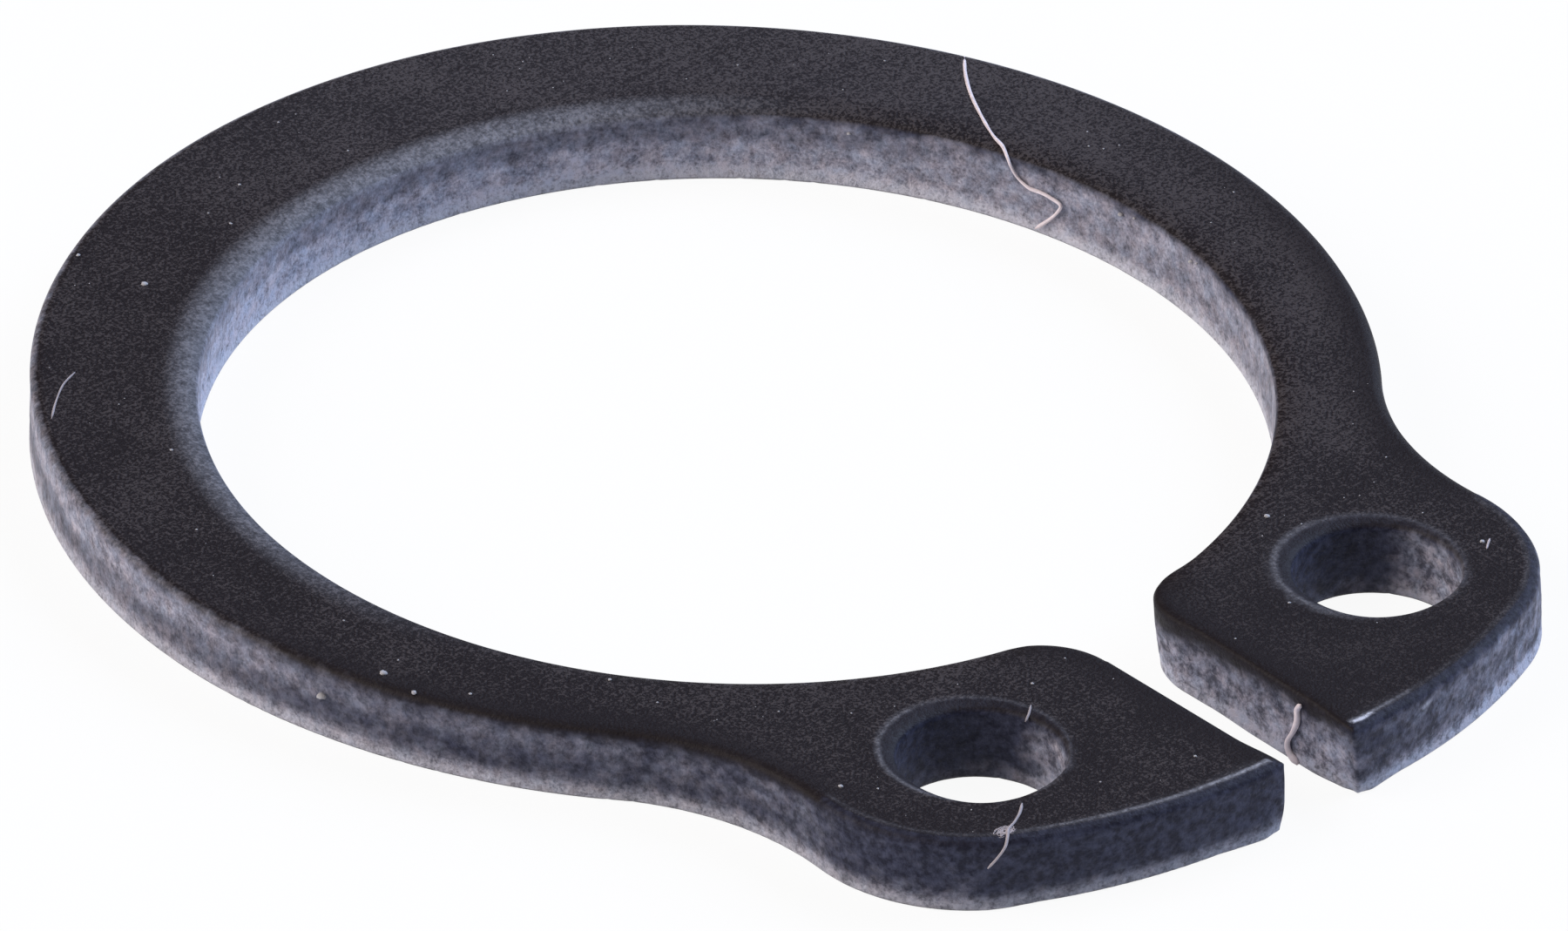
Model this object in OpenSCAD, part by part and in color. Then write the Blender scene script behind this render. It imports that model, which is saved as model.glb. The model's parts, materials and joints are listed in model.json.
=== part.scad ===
/* [Ring] */
// Diameter of the inner circle, as the ring lies free
bore_d = 12.9; // [11:0.1:16]
// Thickness of the spring steel strip
thickness = 1; // [0.8:0.05:1.6]
// Width of the ring opposite the slot, where it bends most
width_far = 2.2; // [1.7:0.05:2.8]
// Width to which the ring tapers, as if it ran on to the slot
width_near = 1.1; // [0.8:0.05:1.6]

/* [Lugs] */
// Distance from the inner circle out to the end of the lugs
lug_depth = 3.85; // [3.4:0.05:4.6]
// Width across both lugs
lug_span = 10.6; // [9.8:0.1:11.6]
// Radius of the arc that ends each lug
lug_end_r = 7.7; // [6.5:0.1:9.5]
// Distance of that arc's centre from the middle of the slot
lug_end_x = 0.7; // [0.3:0.05:1.2]
// Radius of each lug's outer shoulder
shoulder_r = 2.15; // [1.6:0.05:2.6]
// Radius of the hollow that blends each shoulder into the ring
blend_r = 3.6; // [2.4:0.1:5]
// Radius of each lug's inner corner, between the inner circle and the slot
corner_r = 1; // [0.4:0.05:1.4]

/* [Slot] */
// Width of the slot where its faces meet the inner circle
slot_w = 1.25; // [0.6:0.05:2]
// Angle by which each face leans in towards the lug's tip
slot_lean = 1.7; // [0:0.1:3]

/* [Plier holes] */
// Diameter of the hole in each lug
hole_d = 2; // [1.6:0.05:2.3]
// Distance of each hole's axis from the middle of the slot
hole_x = 3.15; // [2.8:0.05:3.5]
// Distance of the holes' axes out from the inner circle, square to that
hole_out = 1.4; // [1.1:0.05:1.8]

/* [Edges] */
// Width of the rounding that the punch leaves round the outside and the slot
edge_w = 0.15; // [0.12:0.01:0.25]
// Depth of that rounding
edge_h = 0.12; // [0.06:0.01:0.12]
// Width of the shallow roll at the top of the inner circle
roll_w = 0.4; // [0.25:0.01:0.5]
// Depth of that roll
roll_h = 0.14; // [0.13:0.01:0.2]
// Width of the roll round the top of each plier hole
hole_roll_w = 0.3; // [0.2:0.01:0.4]
// Width and depth of the worn edges underneath
under_r = 0.1; // [0.05:0.01:0.15]

/* [Hidden] */
// Angle at which a rounded edge leaves the flat face
start_a = 8;
// How far neighbouring arcs run into each other, so that they cross in one clean line
bite = 0.002;
// How far a cutter reaches past the surface that it cuts
over = 0.5;
// How far the tapered ring runs on inside the lugs, as an angle
run_on = 8;
$fn = 96;

bore_r = bore_d / 2;
hole_r = hole_d / 2;
outer_r = bore_r + (width_far + width_near) / 2;
outer_c = [0, (width_far - width_near) / 2];
hole_c = [hole_x, -(bore_r + hole_out)];

function unit(v) = v / norm(v);
function heading(v) = atan2(v.y, v.x);
// Where a line from p along the unit vector u leaves the circle of radius r round c
function exit(p, u, c, r) = let (w = p - c, b = w * u) p + (sqrt(b * b - w * w + r * r) - b) * u;
// The point at distance ra from a and rb from b, to the right of the way from a to b
function apex(a, ra, b, rb) =
    let (d = norm(b - a), u = (b - a) / d, s = (ra * ra - rb * rb + d * d) / (2 * d))
    a + s * u + sqrt(ra * ra - s * s) * [u.y, -u.x];

// The slot's right face: its start on the inner circle, its way out, and the way into the lug
face_p = [slot_w / 2, -bore_r];
face_u = [-sin(slot_lean), -cos(slot_lean)];
face_n = [cos(slot_lean), -sin(slot_lean)];

// Centres of the right lug's arcs, each tangent to its neighbours
end_c = [lug_end_x, lug_end_r - bore_r - lug_depth];
corner_c = exit(face_p + (corner_r - bite) * face_n, face_u, [0, 0], bore_r + corner_r - bite);
shoulder_c = exit([lug_span / 2 - shoulder_r, end_c.y], [0, -1], end_c, lug_end_r - shoulder_r + bite);
blend_c = apex(shoulder_c, shoulder_r + blend_r - bite, outer_c, outer_r + blend_r - bite);

// Where the hollow leaves the ring's outer edge, and the middle of the ring's width there
blend_a = heading(blend_c - outer_c);
neck_p = outer_c + (outer_r - width_near / 2) * unit(blend_c - outer_c);

// Section of what a rounded edge lacks: x runs out of the wall, y out of the flat face
module edge_section(w, h) {
    r = (w * w + h * h) / 2 / (h * cos(start_a) - w * sin(start_a));
    c = [-w - r * sin(start_a), -r * cos(start_a)];
    translate(c) difference() {
        square([over - c.x, over - c.y]);
        circle(r);
    }
}

// Section of the strip, from x = x0 to its wall at x = x1, with the wall's two rounded edges
module strip_section(x0, x1) {
    difference() {
        translate([x0, 0]) square([x1 - x0, thickness]);
        translate([x1, thickness]) edge_section(edge_w, edge_h);
        translate([x1, 0]) mirror([0, 1]) edge_section(under_r, under_r);
    }
}

// Section of an opening of radius r, with the roll at its top and the worn edge under it
module opening_section(r, w) {
    translate([0, -over]) square([r, thickness + 2 * over]);
    translate([r, thickness]) mirror([1, 0]) edge_section(w, roll_h);
    translate([r, 0]) mirror([1, 0]) mirror([0, 1]) edge_section(under_r, under_r);
}

// A round of the strip with its edge at radius r about c
module coin(c, r) {
    translate(c) rotate_extrude() strip_section(0, r);
}

// The tapered ring's round, open towards the slot
module ring_round() {
    from = blend_a - run_on;
    translate(outer_c) rotate_extrude(angle = 180 - 2 * from, start = from) strip_section(0, outer_r);
}

// The hollow between the ring and the lug's shoulder
module hollow() {
    from = heading(outer_c - blend_c);
    turn = heading(shoulder_c - blend_c) + 360 - from;
    translate(blend_c) rotate_extrude(angle = turn, start = from)
        translate([blend_r, 0]) mirror([1, 0]) strip_section(-shoulder_r, 0);
}

// The slot's face with its rounded edges, from the inner corner to past the tip
module face_strip() {
    translate(corner_c - (corner_r - bite) * face_n) rotate([0, 0, heading(face_u)]) rotate([90, 0, 90])
        linear_extrude(lug_end_r) mirror([1, 0]) strip_section(-lug_end_r, 0);
}

// The lug's end, cut off at the slot's face and where the shoulder's arc takes over
module lug_end() {
    far = 2 * lug_end_r;
    intersection() {
        face_strip();
        coin(end_c, lug_end_r);
        translate([0, 0, -over]) linear_extrude(thickness + 2 * over)
            polygon([end_c, end_c + far * unit(shoulder_c - end_c), end_c - [0, far], end_c - [far, 0]]);
    }
}

module lug() {
    lug_end();
    coin(shoulder_c, shoulder_r);
    coin(corner_c, corner_r);
    hollow();
    linear_extrude(thickness) polygon([[0, 0], corner_c, hole_c, shoulder_c, neck_p]);
}

module both_sides() {
    children();
    mirror([1, 0, 0]) children();
}

module retaining_ring() {
    color([0.14, 0.13, 0.15])
    difference() {
        union() {
            ring_round();
            both_sides() lug();
        }
        rotate_extrude() opening_section(bore_r, roll_w);
        both_sides() translate(hole_c) rotate_extrude() opening_section(hole_r, hole_roll_w);
    }
}

retaining_ring();
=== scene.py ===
"""Looks of an external retaining ring: blackened spring steel with punched edges, lint and dust."""

import json
import math
import random

import bpy
import numpy as np
from bpy.props import FloatProperty, FloatVectorProperty, IntProperty, PointerProperty
from mathutils import Matrix, Vector, noise
from mathutils.geometry import delaunay_2d_cdt
from mathutils.kdtree import KDTree


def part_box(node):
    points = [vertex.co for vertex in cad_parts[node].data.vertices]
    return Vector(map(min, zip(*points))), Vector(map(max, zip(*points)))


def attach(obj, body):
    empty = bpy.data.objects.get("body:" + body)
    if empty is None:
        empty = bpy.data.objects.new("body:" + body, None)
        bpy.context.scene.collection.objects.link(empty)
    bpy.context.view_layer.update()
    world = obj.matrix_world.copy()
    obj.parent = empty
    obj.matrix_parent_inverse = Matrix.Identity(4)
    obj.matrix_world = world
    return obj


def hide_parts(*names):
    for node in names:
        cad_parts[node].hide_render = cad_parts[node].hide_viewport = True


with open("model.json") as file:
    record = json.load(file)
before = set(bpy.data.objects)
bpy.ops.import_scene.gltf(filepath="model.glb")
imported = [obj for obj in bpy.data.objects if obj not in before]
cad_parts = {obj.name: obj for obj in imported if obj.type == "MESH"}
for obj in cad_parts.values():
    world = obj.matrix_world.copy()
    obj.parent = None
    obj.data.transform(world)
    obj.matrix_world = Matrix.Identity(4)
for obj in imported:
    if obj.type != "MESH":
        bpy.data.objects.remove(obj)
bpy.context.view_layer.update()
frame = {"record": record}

bl_info = {
    "name": "External retaining ring",
    "version": (1, 0, 0),
    "blender": (4, 5, 0),
    "location": "3D View > Sidebar > Retaining ring",
    "description": "Builds a punched retaining ring of blackened spring steel in its studio",
    "category": "Object",
}

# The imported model: its box, and the places and sizes that other parts rely on
RING_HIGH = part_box("retaining_ring")[1]
MOUNTS = {mount["name"]: mount for mount in frame["record"]["mounts"]}
BORE = MOUNTS["shaft_bore"]["dims"]["r_mm"] / 1000
HOLE = MOUNTS["plier_hole_right"]["dims"]["r_mm"] / 1000
HOLE_AT = MOUNTS["plier_hole_right"]["pos_m"]

# Shapes are worked out in millimetres, where the numbers are easy to read
MM = 0.001
FAR = 1e9
# How far rounding may take a point off its circle or past its angle
NEARLY = 1e-6

STEEL = "retaining_ring"


# ---------------------------------------------------------------- sizes and colours

def length_property(name, description, default):
    """A length that a user can change"""
    return FloatProperty(name=name, description=description, default=default, unit="LENGTH")


def angle_property(name, description, degrees):
    """An angle that a user can change"""
    return FloatProperty(
        name=name, description=description, default=math.radians(degrees), subtype="ANGLE", unit="ROTATION")


def colour_property(name, description, default):
    """A colour that a user can change"""
    return FloatVectorProperty(
        name=name, description=description, default=default, subtype="COLOR", min=0, max=1)


class RingSizes(bpy.types.PropertyGroup):
    """Sizes of the steel ring"""

    bore_radius: length_property("Bore radius", "Inner radius as the ring lies free", BORE)
    outer_radius: length_property("Outer radius", "Radius of the ring's outer edge", RING_HIGH.x)
    outer_shift: length_property(
        "Outer shift", "Distance of the outer circle's centre from the bore's, away from the slot",
        RING_HIGH.y - RING_HIGH.x)
    thickness: length_property("Thickness", "Thickness of the strip", RING_HIGH.z)
    lug_depth: length_property("Lug depth", "Distance from the bore out to the end of the lugs", 0.00385)
    lug_span: length_property("Lug span", "Width across both lugs", 0.0106)
    lug_end_radius: length_property("Lug end radius", "Radius of the arc that ends each lug", 0.0077)
    lug_end_x: length_property(
        "Lug end centre", "Distance of that arc's centre from the middle of the slot", 0.0007)
    shoulder_radius: length_property("Shoulder radius", "Radius of each lug's outer shoulder", 0.00215)
    hollow_radius: length_property(
        "Hollow radius", "Radius of the hollow between shoulder and ring", 0.0036)
    corner_radius: length_property("Corner radius", "Radius between the bore and the slot", 0.001)
    tip_radius: length_property("Tip radius", "Wear on the upright corner at each lug's tip", 0.00004)
    slot_width: length_property("Slot width", "Width of the slot at the bore", 0.00125)
    slot_lean: angle_property("Slot lean", "Angle by which each slot face leans in towards the tip", 0.5)
    hole_radius: length_property("Hole radius", "Radius of the plier holes", HOLE)
    hole_x: length_property(
        "Hole offset", "Distance of each plier hole from the middle of the slot", HOLE_AT[0])
    hole_y: length_property("Hole place", "Place of the plier holes along the slot", HOLE_AT[1])
    edge_width: length_property(
        "Edge width", "Width of the punched rounding round the outside", 0.00015)
    edge_depth: length_property("Edge depth", "Depth of that rounding where it is a full one", 0.00012)
    roll_width: length_property("Bore roll width", "Width of the shallow roll round the bore", 0.0004)
    roll_depth: length_property("Bore roll depth", "Depth that a full roll would have", 0.00014)
    hole_roll_width: length_property(
        "Hole roll width", "Middling width of the roll round each plier hole", 0.00013)
    hole_roll_depth: length_property("Hole roll depth", "Depth of that roll", 0.00005)
    under_width: length_property("Under edge", "Width of the worn edge underneath", 0.00004)
    edge_wear: length_property("Edge wear", "How far the crisp top edges are worn back", 0.00003)
    tear_depth: length_property("Tear depth", "Depth of the torn grain on the punched walls", 0.00002)
    tip_foot: length_property("Tip foot", "How far the tips' bottom corners are rounded off", 0.00006)
    fineness: length_property("Fineness", "Spacing of the points along the edges", 0.00006)


class RingColours(bpy.types.PropertyGroup):
    """Colours of the steel, the lint and the dust"""

    oxide_dark: colour_property(
        "Oxide, dark", "Darker tone of the black oxide on the flat faces", (0.006, 0.002, 0.003))
    oxide_light: colour_property(
        "Oxide, light", "Lighter tone of the black oxide on the flat faces", (0.052, 0.042, 0.042))
    wall_dark: colour_property("Wall, dark", "Darker tone of the coated walls", (0.009, 0.010, 0.026))
    wall_light: colour_property("Wall, light", "Lighter tone of the coated walls", (0.051, 0.056, 0.095))
    # The pale colours serve the torn grain and the painted light at the walls' feet and on the holes' lit
    # sides
    torn_cool: colour_property("Torn, cool", "Bluish grains of the torn steel", (0.45, 0.48, 0.59))
    torn_warm: colour_property("Torn, warm", "Pinkish grains of the torn steel", (0.54, 0.50, 0.56))
    # This colour also serves the painted glints, sheen and foot light
    bare: colour_property(
        "Bare edge", "Steel where the black is rubbed off an edge", (0.62, 0.63, 0.70))
    lint: colour_property("Lint", "Colour of the lint", (0.92, 0.82, 0.84))
    dust: colour_property("Dust", "Colour of the dust", (0.50, 0.49, 0.50))


class LintSettings(bpy.types.PropertyGroup):
    """Lint and dust lying on the steel"""

    hair_thickness: length_property("Hair thickness", "Thickness of the long hair", 0.000052)
    dust_count: IntProperty(
        name="Dust specks", description="How many fine specks lie on the top face", default=80, min=0)
    dust_size: length_property("Dust size", "Size of an average speck", 0.000022)
    seed: IntProperty(name="Seed", description="Seed for where the fine specks lie", default=7)


class StudioSettings(bpy.types.PropertyGroup):
    """Floor, lamps and camera"""

    floor_size: length_property("Floor size", "Side of the floor", 3.0)
    floor_shadow: FloatProperty(
        name="Floor shadow", description="Share of the plain lit floor, with its shadow, in the white one",
        default=0.07, min=0, max=1, subtype="FACTOR")
    floor_colour: colour_property("Floor colour", "Colour of the floor", (0.95, 0.95, 0.95))
    camera_distance: length_property(
        "Camera distance", "Distance of the camera from the bore's centre", 0.387)
    camera_azimuth: angle_property(
        "Camera azimuth", "Direction of the camera, from the slot's side", -42.31)
    camera_elevation: angle_property("Camera elevation", "Height of the camera as an angle", 32.03)
    camera_roll: angle_property("Camera roll", "Tilt of the camera about its own axis", 1.311)
    camera_aim: FloatVectorProperty(
        name="Camera aim", description="Point that the camera looks at",
        default=(0.000388, -0.000438, 0), subtype="TRANSLATION", unit="LENGTH")
    camera_lens: FloatProperty(name="Lens", description="Focal length in millimetres", default=741.9)


# ---------------------------------------------------------------- what the walls are like

# What the wall of each run is like: how pale its torn grain makes it on its rolled edge, near the top and in
# the middle, and how pale it is at the foot, where the paleness is painted light from the floor below; the
# depth at which it starts to be torn, as a share of the thickness; how much painted shade darkens it above
# that, standing for a dark burnished band; the depth of its rolled edge as a share of the full one; and how
# far its foot draws back in millimetres
EDGE, UPPER, MIDDLE, LIT_FOOT, START, PAINTED_SHADE, ROLL, BACK = range(8)
LOOKS = {
    "bore": (0.04, 0.52, 0.46, 0.75, 0.12, 0.0, 1.0, 0.0),
    "bore_far": (0.02, 0.3, 0.6, 1.4, 0.12, 0.0, 1.0, 0.0),
    "bore_left": (0.04, 0.5, 0.82, 1.3, 0.12, 0.0, 1.0, 0.0),
    "corner": (0.0, 0.3, 0.42, 0.7, 0.32, 1.0, 0.35, 0.04),
    "face": (0.0, 0.27, 0.46, 0.9, 0.2, 1.0, 0.2, 0.0),
    "tip": (0.0, 0.05, 0.12, 0.3, 0.1, 0.3, 0.12, 0.0),
    "end": (0.0, 0.0, 0.02, 0.3, 0.1, 0.0, 0.4, 0.08),
    "end_right": (0.03, 0.28, 0.26, 1.4, 0.1, 0.0, 0.4, 0.0),
    "shoulder": (0.0, 0.03, 0.05, 0.4, 0.12, 0.4, 0.45, 0.03),
    "hollow": (0.0, 0.14, 0.1, 0.5, 0.14, 1.0, 0.5, 0.03),
    "ring": (0.0, 0.19, 0.09, 0.7, 0.14, 1.0, 0.5, 0.02),
    "ring_far": (0.3, 0.62, 0.3, 0.72, 0.12, 0.0, 0.5, 0.0),
    # The holes' walls are painted pale on their lit side and dark on their shaded side
    "hole_lit": (0.08, 0.47, 0.5, 0.8, 0.12, 0.0, 1.0, 0.0),
    "hole_shaded": (0.0, 0.0, 0.02, 0.2, 0.12, 0.0, 1.0, 0.0),
}
LOOKS = {name: np.array(look) for name, look in LOOKS.items()}
# The bore and the ring's outer wall change their look between these places along the slot's line, in
# millimetres
BORE_CHANGE = (0.4, 5.0)
RING_CHANGE = (-3.2, 3.4)
# Across that line, the far side of the bore and the right lug's end change theirs between these places
BORE_LEFT_CHANGE = (-0.3, -3.0)
RIGHT_END_CHANGE = (-0.5, 4.4)
# How far from the slot's middle the right lug's end starts
RIGHT_END_FROM = 0.75
# Middle and reach, along the lug's end, of the chip at the right tip
CHIP_X = 0.8
CHIP_REACH = 0.24
# Where across the lug's end, and how far down, the small scuff on the right lug's wall is
SCUFF_X = 1.8
SCUFF_DOWN = 0.16
# Middle of a darker part of the right lug's top, and between which distances from it that fades
DARK_SPOT = 1.8 - 8.7j
DARK_SPOT_FADE = (3.4, 1.0)
# How much wider than the middling the roll of the holes is on the bore's side
HOLE_ROLL_SHARE = 0.85
# Depth of the bore's roll beside the slot, as a share of a full roll's, and what the far side has on top
BORE_ROLL_SHARE = 0.3
BORE_ROLL_RISE = 0.35
# Over how many neighbours to each side the looks of a wall run into each other
LOOK_BLUR = 5
# The sides of the left and the right hole whose walls are painted as lit, as angles
LEFT_HOLE_LIT_SIDE = math.radians(-60)
RIGHT_HOLE_LIT_SIDE = math.radians(-40)


def facing(away, angle):
    """1 on the side at this angle, falling to 0 at a quarter turn from it"""
    lean = (away * np.exp(-1j * angle)).real / abs(away)
    return smooth_step(lean, 0.0, 0.9)


def smooth_step(value, low, high):
    """0 up to low and 1 from high on, or the other way round, with a smooth change between them"""
    t = np.clip((value - low) / (high - low), 0, 1)
    return t * t * (3 - 2 * t)


def blend(looks, others, share):
    """Looks with this share of the others in them, point by point"""
    share = share[:, None]
    return (1 - share) * looks + share * others


def blend_along(values, reach):
    """Values along a closed edge, evened out over a few neighbours"""
    total = sum(np.roll(values, shift, axis=0) for shift in range(-reach, reach + 1))
    return total / (2 * reach + 1)


def folded(q):
    """The points with the left half's folded over onto the right half"""
    return abs(q.real) + 1j * q.imag


def places(spots):
    """Where the points lie on the plane, as complex numbers"""
    return spots[:, 0] + 1j * spots[:, 1]


# ---------------------------------------------------------------- outline of the punched blank

def unit(v):
    """The vector at a length of 1"""
    return v / abs(v)


def exit_point(p, u, c, r):
    """Where a line from p along the unit vector u leaves the circle of radius r round c"""
    w = p - c
    b = (w * u.conjugate()).real
    return p + (math.sqrt(b * b - abs(w) ** 2 + r * r) - b) * u


def apex(a, ra, b, rb):
    """The point at distance ra from a and rb from b, to the right of the way from a to b"""
    d = abs(b - a)
    u = (b - a) / d
    s = (ra * ra - rb * rb + d * d) / (2 * d)
    return a + s * u + math.sqrt(ra * ra - s * s) * u * -1j


def edge_drop(d, w, h):
    """How far a rolled edge of width w and depth h lies below the flat face, d inside the wall"""
    return h * (1 - np.clip(d / w, 0, 1)) ** 2


class Arc:
    """A stretch of outline on a circle, with the steel on the left of its way"""

    def __init__(self, centre, radius, start, end, turn, look):
        self.centre = centre
        self.radius = radius
        self.start = math.atan2(start.imag, start.real)
        way = (math.atan2(end.imag, end.real) - self.start) * turn
        self.sweep = way % math.tau
        self.turn = turn
        self.look = look

    def points(self, step):
        """Points about a step apart along the stretch, and the ways into the steel"""
        count = max(4, round(self.radius * self.sweep / step))
        angles = self.start + self.turn * self.sweep * np.arange(count) / count
        away = np.exp(1j * angles)
        return self.centre + self.radius * away, -self.turn * away

    def gap(self, q):
        """Distances of points from the stretch, where they lie beside it"""
        away = q - self.centre
        turned = ((np.angle(away) - self.start) * self.turn + NEARLY) % math.tau
        return np.where(turned <= self.sweep + 2 * NEARLY, abs(abs(away) - self.radius), FAR)


class Straight:
    """A straight stretch of outline, with the steel on the left of its way"""

    def __init__(self, start, end, look):
        self.start = start
        self.length = abs(end - start)
        self.way = unit(end - start)
        self.look = look

    def points(self, step):
        """Points about a step apart along the stretch, and the ways into the steel"""
        count = max(4, round(self.length / step))
        along = self.length * np.arange(count) / count
        return self.start + along * self.way, np.full(count, self.way * 1j)

    def gap(self, q):
        """Distances of points from the stretch, where they lie beside it"""
        w = (q - self.start) * self.way.conjugate()
        return np.where((w.real >= 0) & (w.real <= self.length), abs(w.imag), FAR)


class Loop:
    """A closed edge: its points, the ways into the steel, the roll's width, and the walls' looks"""

    def __init__(self, points, inward, width, looks):
        self.points = points
        self.inward = inward
        self.width = width
        self.looks = looks


class Blank:
    """The punched outline, worked out from the sizes, in millimetres"""

    def __init__(self, sizes):
        s = {name: value / MM for name, value in sizes.items()}
        self.s = s
        self.hole_c = complex(s["hole_x"], s["hole_y"])
        lean = sizes["slot_lean"]
        bore, end_r, corner_r = s["bore_radius"], s["lug_end_radius"], s["corner_radius"]
        shoulder_r, hollow_r, tip_r = s["shoulder_radius"], s["hollow_radius"], s["tip_radius"]
        outer_r = s["outer_radius"]
        # The slot's right face, and the centres of the right half's arcs, each tangent to its neighbours
        outer_c = 1j * s["outer_shift"]
        face_p = complex(s["slot_width"] / 2, -bore)
        face_u = -1j * complex(math.cos(lean), -math.sin(lean))
        face_n = face_u * 1j
        end_c = complex(s["lug_end_x"], end_r - bore - s["lug_depth"])
        corner_c = exit_point(face_p + corner_r * face_n, face_u, 0, bore + corner_r)
        tip_c = exit_point(face_p + tip_r * face_n, face_u, end_c, end_r - tip_r)
        shoulder_at = complex(s["lug_span"] / 2 - shoulder_r, end_c.imag)
        shoulder_c = exit_point(shoulder_at, -1j, end_c, end_r - shoulder_r)
        hollow_c = apex(shoulder_c, shoulder_r + hollow_r, outer_c, outer_r + hollow_r)
        self.bore = Arc(0, bore, 1j, corner_c, -1, LOOKS["bore"])
        self.corner = Arc(corner_c, corner_r, -corner_c, -face_n, 1, LOOKS["corner"])
        self.face = Straight(corner_c - corner_r * face_n, tip_c - tip_r * face_n, LOOKS["face"])
        self.tip = Arc(tip_c, tip_r, -face_n, tip_c - end_c, 1, LOOKS["tip"])
        self.end = Arc(end_c, end_r, tip_c - end_c, shoulder_c - end_c, 1, LOOKS["end"])
        self.shoulder = Arc(
            shoulder_c, shoulder_r, shoulder_c - end_c, hollow_c - shoulder_c, 1, LOOKS["shoulder"])
        self.hollow = Arc(hollow_c, hollow_r, shoulder_c - hollow_c, outer_c - hollow_c, -1, LOOKS["hollow"])
        self.ring = Arc(outer_c, outer_r, hollow_c - outer_c, 1j, 1, LOOKS["ring"])
        self.outside = [self.corner, self.face, self.tip, self.end, self.shoulder, self.hollow, self.ring]

    def outline(self):
        """The whole outer edge: the right half from the bore's far end on, then its mirror image"""
        points, inward, looks = [], [], []
        for run in [self.bore] + self.outside:
            p, n = run.points(self.s["fineness"])
            points.append(p)
            inward.append(n)
            looks.append(np.tile(run.look, (len(p), 1)))
        points.append([self.ring.centre + 1j * self.ring.radius])
        inward.append([-1j])
        looks.append([self.ring.look])
        half = [np.concatenate(part) for part in (points, inward, looks)]
        back = [part[-2:0:-1] for part in half]
        back[0] = -back[0].conjugate()
        back[1] = -back[1].conjugate()
        points, inward, looks = [np.concatenate(pair) for pair in zip(half, back)]
        on_bore = abs(abs(points) - self.s["bore_radius"]) < NEARLY
        width = np.where(on_bore, self.s["roll_width"], self.s["edge_width"])
        return Loop(points, inward, width, blend_along(self.change_looks(points, looks, on_bore), LOOK_BLUR))

    def change_looks(self, points, looks, on_bore):
        """The looks with their changes along the bore, the ring's outer wall and the right lug's end"""
        on_ring = abs(abs(points - self.ring.centre) - self.ring.radius) < NEARLY
        bore_far = blend(LOOKS["bore_far"], LOOKS["bore_left"], smooth_step(points.real, *BORE_LEFT_CHANGE))
        bore = blend(LOOKS["bore"], bore_far, smooth_step(points.imag, *BORE_CHANGE))
        ring = blend(LOOKS["ring"], LOOKS["ring_far"], smooth_step(points.imag, *RING_CHANGE))
        looks = np.where(on_bore[:, None], bore, np.where(on_ring[:, None], ring, looks))
        past_tip = points.real > RIGHT_END_FROM
        on_end = past_tip & (points.imag < -self.s["bore_radius"] - 0.5 * self.s["lug_depth"])
        return blend(looks, LOOKS["end_right"], smooth_step(points.real, *RIGHT_END_CHANGE) * on_end)

    def hole(self, side):
        """The edge of one plier hole"""
        radius = self.s["hole_radius"]
        count = round(math.tau * radius / self.s["fineness"])
        away = np.exp(-1j * math.tau * np.arange(count) / count)
        centre = complex(side * self.hole_c.real, self.hole_c.imag)
        # Each hole's wall is painted pale on its lit side and dark on its shaded side
        lit = facing(away, LEFT_HOLE_LIT_SIDE if side < 0 else RIGHT_HOLE_LIT_SIDE)
        looks = blend(LOOKS["hole_shaded"], LOOKS["hole_lit"], lit)
        return Loop(centre + radius * away, away, self.hole_roll(away), looks)

    def loops(self):
        """All closed edges: the outer one and those of both plier holes"""
        return [self.outline(), self.hole(1), self.hole(-1)]

    def hole_roll(self, away):
        """Width of the roll round a plier hole, which is widest on the bore's side"""
        return self.s["hole_roll_width"] * (1 + HOLE_ROLL_SHARE * away.imag / abs(away))

    def bore_depth(self, q):
        """Depth of the roll round the bore, which is deepest on the far side"""
        rise = BORE_ROLL_RISE * smooth_step(q.imag, 0, self.s["bore_radius"])
        return self.s["roll_depth"] * (BORE_ROLL_SHARE + rise)

    def edge_depth(self, q):
        """Depth of the rolled outer edge at the run nearest to the points"""
        nearest = np.argmin([run.gap(folded(q)) for run in self.outside], axis=0)
        return self.s["edge_depth"] * np.array([run.look[ROLL] for run in self.outside])[nearest]

    def gaps(self, q):
        """Distances of points from the bore, the outer edge and the nearer plier hole"""
        outside = np.min([run.gap(folded(q)) for run in self.outside], axis=0)
        hole = abs(folded(q) - self.hole_c) - self.s["hole_radius"]
        return abs(q) - self.s["bore_radius"], outside, hole

    def from_hole(self, q):
        """Distance of points from the nearer plier hole as a share of its roll's width"""
        away = folded(q) - self.hole_c
        return (abs(away) - self.s["hole_radius"]) / self.hole_roll(away)

    def from_axis(self, q):
        """The ways from the axis of the nearer plier hole to the points"""
        return q - np.where(q.real < 0, -1, 1) * self.hole_c.real - 1j * self.hole_c.imag

    def reach(self, q):
        """The nearest of those distances, each as a share of its rolled edge's width"""
        bore, outside, _ = self.gaps(q)
        shares = (bore / self.s["roll_width"], outside / self.s["edge_width"], self.from_hole(q))
        return np.min(shares, axis=0)

    def under_reach(self, q):
        """The same underneath, where all edges are as wide"""
        return np.min(self.gaps(q), axis=0) / self.s["under_width"]

    def down(self, z):
        """How far down heights lie, from 0 at the top face to 1 at the underside"""
        return 1 - z / self.s["thickness"]

    def top(self, q):
        """Height of the top face with its rolled edges"""
        bore, outside, _ = self.gaps(q)
        drops = (
            edge_drop(bore, self.s["roll_width"], self.bore_depth(q)),
            edge_drop(outside, self.s["edge_width"], self.edge_depth(q)),
            edge_drop(self.from_hole(q), 1, self.s["hole_roll_depth"]),
        )
        return self.s["thickness"] - np.max(drops, axis=0)

    def bottom(self, q):
        """Height of the underside with its worn edges"""
        nearest = np.min(self.gaps(q), axis=0)
        return edge_drop(nearest, self.s["under_width"], self.s["under_width"])


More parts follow.
